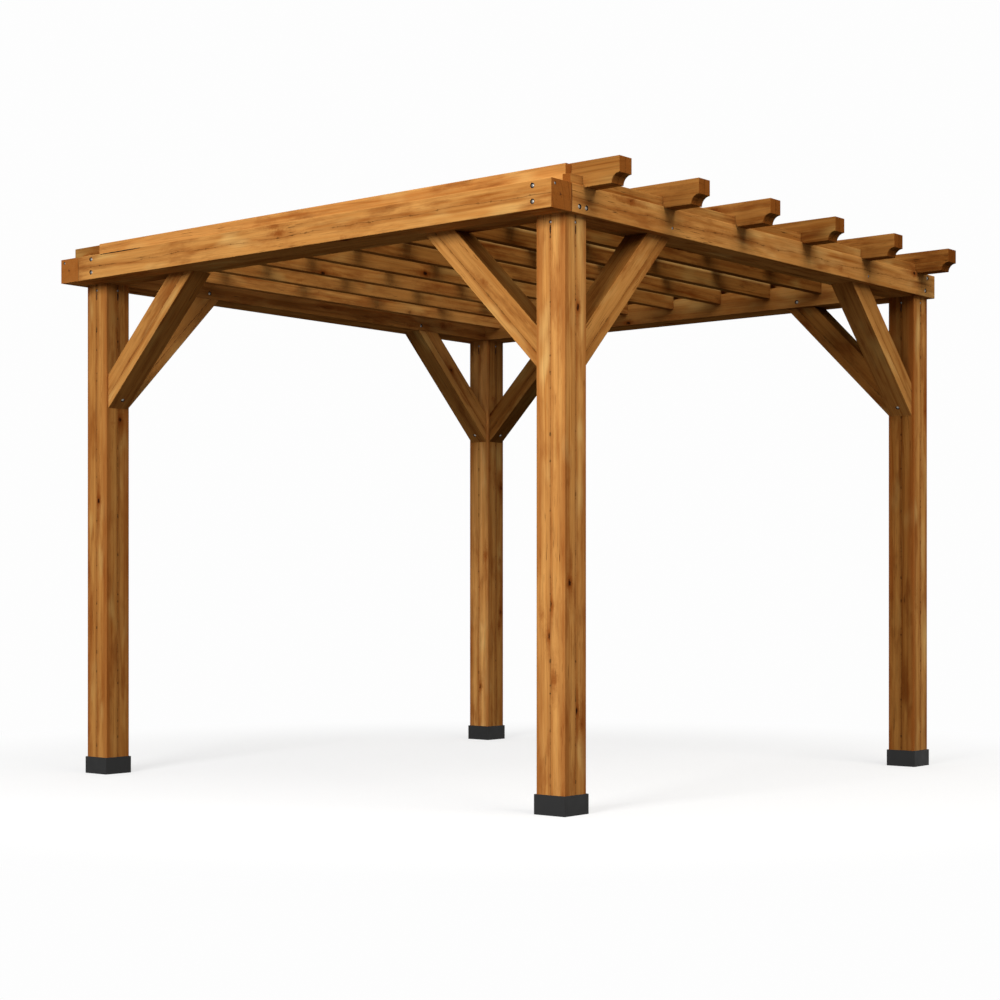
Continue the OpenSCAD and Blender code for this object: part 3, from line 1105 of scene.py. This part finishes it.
class PERGOLA_OT_braces(bpy.types.Operator):
    """Build the eight knee braces"""

    bl_idname = "pergola.braces"
    bl_label = "Knee braces"

    def execute(self, context):
        knee_braces(context.scene.pergola_sizes)
        return {"FINISHED"}


class PERGOLA_OT_rafters(bpy.types.Operator):
    """Build the doubled rafters with coved tails"""

    bl_idname = "pergola.rafters"
    bl_label = "Rafters"

    def execute(self, context):
        doubled_rafters(context.scene.pergola_sizes)
        return {"FINISHED"}


class PERGOLA_OT_boards(bpy.types.Operator):
    """Build the purlins, strips and edge boards"""

    bl_idname = "pergola.boards"
    bl_label = "Purlins and strips"

    def execute(self, context):
        straight_boards(context.scene.pergola_sizes)
        return {"FINISHED"}


class PERGOLA_OT_fasteners(bpy.types.Operator):
    """Turn the bolt and screw heads that the timbers were bored for"""

    bl_idname = "pergola.fasteners"
    bl_label = "Bolts and screws"

    def execute(self, context):
        steel_fasteners()
        return {"FINISHED"}


class PERGOLA_OT_stage(bpy.types.Operator):
    """Set up the floor, the lamps and the camera"""

    bl_idname = "pergola.stage"
    bl_label = "Studio"

    def execute(self, context):
        studio(context.scene.pergola_stage)
        return {"FINISHED"}


OPERATORS = (
    PERGOLA_OT_posts,
    PERGOLA_OT_shoes,
    PERGOLA_OT_beams,
    PERGOLA_OT_braces,
    PERGOLA_OT_rafters,
    PERGOLA_OT_boards,
    PERGOLA_OT_fasteners,
    PERGOLA_OT_stage,
)


class PERGOLA_PT_panel(bpy.types.Panel):
    """Settings and pieces of the pergola"""

    bl_idname = "PERGOLA_PT_panel"
    bl_label = "Pergola"
    bl_space_type = "VIEW_3D"
    bl_region_type = "UI"
    bl_category = "Pergola"

    def draw(self, context):
        for operator in OPERATORS:
            self.layout.operator(operator.bl_idname)
        for name in GROUPS:
            box = self.layout.box()
            group = getattr(context.scene, name)
            for setting in group.__annotations__:
                box.prop(group, setting)


GROUPS = {
    "pergola_sizes": PergolaSizes,
    "pergola_colours": PergolaColours,
    "pergola_stage": PergolaStage,
}
CLASSES = (*GROUPS.values(), *OPERATORS, PERGOLA_PT_panel)


def register():
    for kind in CLASSES:
        bpy.utils.register_class(kind)
    for name, group in GROUPS.items():
        setattr(bpy.types.Scene, name, bpy.props.PointerProperty(type=group))


def unregister():
    for name in GROUPS:
        delattr(bpy.types.Scene, name)
    for kind in reversed(CLASSES):
        bpy.utils.unregister_class(kind)


def main():
    """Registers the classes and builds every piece."""
    register()
    for operator in OPERATORS:
        group, name = operator.bl_idname.split(".")
        getattr(getattr(bpy.ops, group), name)()


if __name__ == "__main__":
    main()
